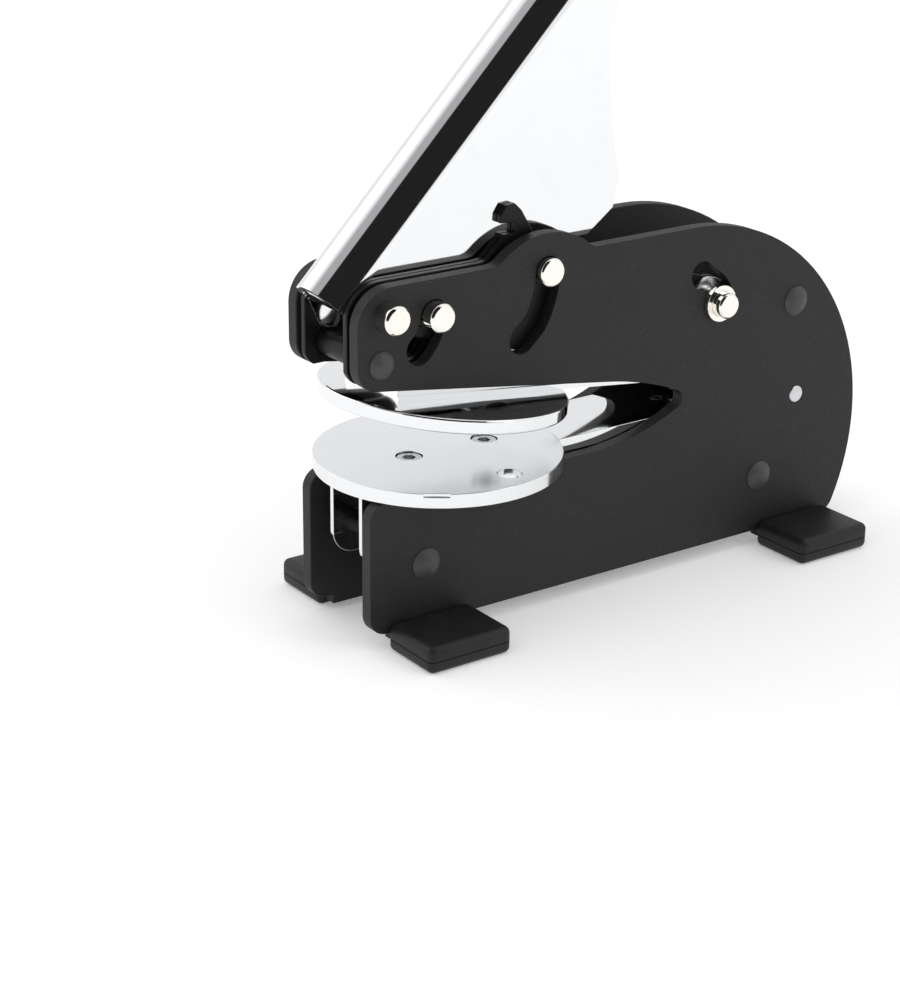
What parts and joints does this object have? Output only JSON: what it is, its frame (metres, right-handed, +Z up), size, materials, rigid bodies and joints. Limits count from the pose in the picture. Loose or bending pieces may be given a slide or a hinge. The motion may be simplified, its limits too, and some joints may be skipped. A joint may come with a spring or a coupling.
{
  "type": "seal embosser",
  "caption": "Desk seal embosser with round die plates held between a pair of side plates and closed by a long lever through slotted links.",
  "frame": {"origin": "middle of the footprint, on the surface that the feet stand on", "axes": "+Z up, +X to the right, +Y towards the rear, so the mouth that takes the paper faces -Y"},
  "size_m": [0.0568, 0.1388, 0.1959],
  "materials": {
    "powder_coat": "fine textured dark grey powder coat",
    "black_steel": "satin black",
    "chrome_plate": "polished chrome plate",
    "nickel_pin": "smooth nickel-plated turned steel",
    "bright_steel": "bright zinc-plated steel",
    "spring_steel": "oiled spring steel",
    "foot_rubber": "matt black rubber",
    "grip_plastic": "fine-grained black plastic"
  },
  "bodies": {
    "frame": {"right_side_plate": "powder_coat", "left_side_plate": "powder_coat", "right_hook_plate": "black_steel", "left_liner_plate": "black_steel", "front_upper_spacer": "black_steel", "front_lower_spacer": "black_steel", "rear_upper_spacer": "black_steel", "rear_lower_spacer": "black_steel", "domed_rivets": "powder_coat", "handle_pivot_pin": "nickel_pin", "front_right_foot": "foot_rubber", "front_left_foot": "foot_rubber", "rear_right_foot": "foot_rubber", "rear_left_foot": "foot_rubber", "lower_die_channel": "chrome_plate", "lower_die_arm": "chrome_plate", "lower_die_plate": "chrome_plate", "lower_die_screws": "bright_steel", "lower_arm_rivets": "bright_steel", "die_hinge_pin": "bright_steel", "die_return_spring": "spring_steel"},
    "handle": {"handle_lever": "chrome_plate", "handle_grip": "grip_plastic", "grip_pin": "bright_steel", "link_pin": "nickel_pin"},
    "press_link": {"right_press_plate": "black_steel", "left_press_plate": "black_steel", "guide_studs": "nickel_pin", "press_bar": "bright_steel"},
    "rear_link": {"right_rear_link": "black_steel", "left_rear_link": "black_steel", "rear_studs": "nickel_pin", "retaining_rings": "nickel_pin", "stud_collars": "bright_steel"},
    "upper_die": {"upper_die_plate": "chrome_plate", "upper_die_arm": "chrome_plate", "upper_die_bracket": "chrome_plate", "upper_die_screws": "bright_steel", "upper_arm_rivets": "bright_steel"}
  },
  "joints": [
    {"name": "lever_hinge", "type": "hinge", "parent": "frame", "child": "handle", "pos_m": [0, -0.05845, 0.0705], "axis": [-1, 0, 0], "range_deg": [0, 39], "stiffness_Nm_per_rad": 0.15},
    {"name": "press_link_hinge", "type": "hinge", "parent": "handle", "child": "press_link", "pos_m": [0, -0.04736, 0.069], "axis": [-1, 0, 0], "range_deg": [-31.5, 0]},
    {"name": "rear_link_hinge", "type": "hinge", "parent": "press_link", "child": "rear_link", "pos_m": [0, -0.01945, 0.0735], "axis": [-1, 0, 0], "range_deg": [-24.5, 0]},
    {"name": "upper_die_hinge", "type": "hinge", "parent": "frame", "child": "upper_die", "pos_m": [0, 0.05145, 0.034], "axis": [1, 0, 0], "range_deg": [0, 6.8], "deforming": ["die_return_spring"]}
  ],
  "couplings": [
    {"joint": "press_link_hinge", "follows": "lever_hinge", "ratio": -0.80769},
    {"joint": "rear_link_hinge", "follows": "lever_hinge", "ratio": -0.62821},
    {"joint": "upper_die_hinge", "follows": "lever_hinge", "ratio": 0.17431}
  ]
}
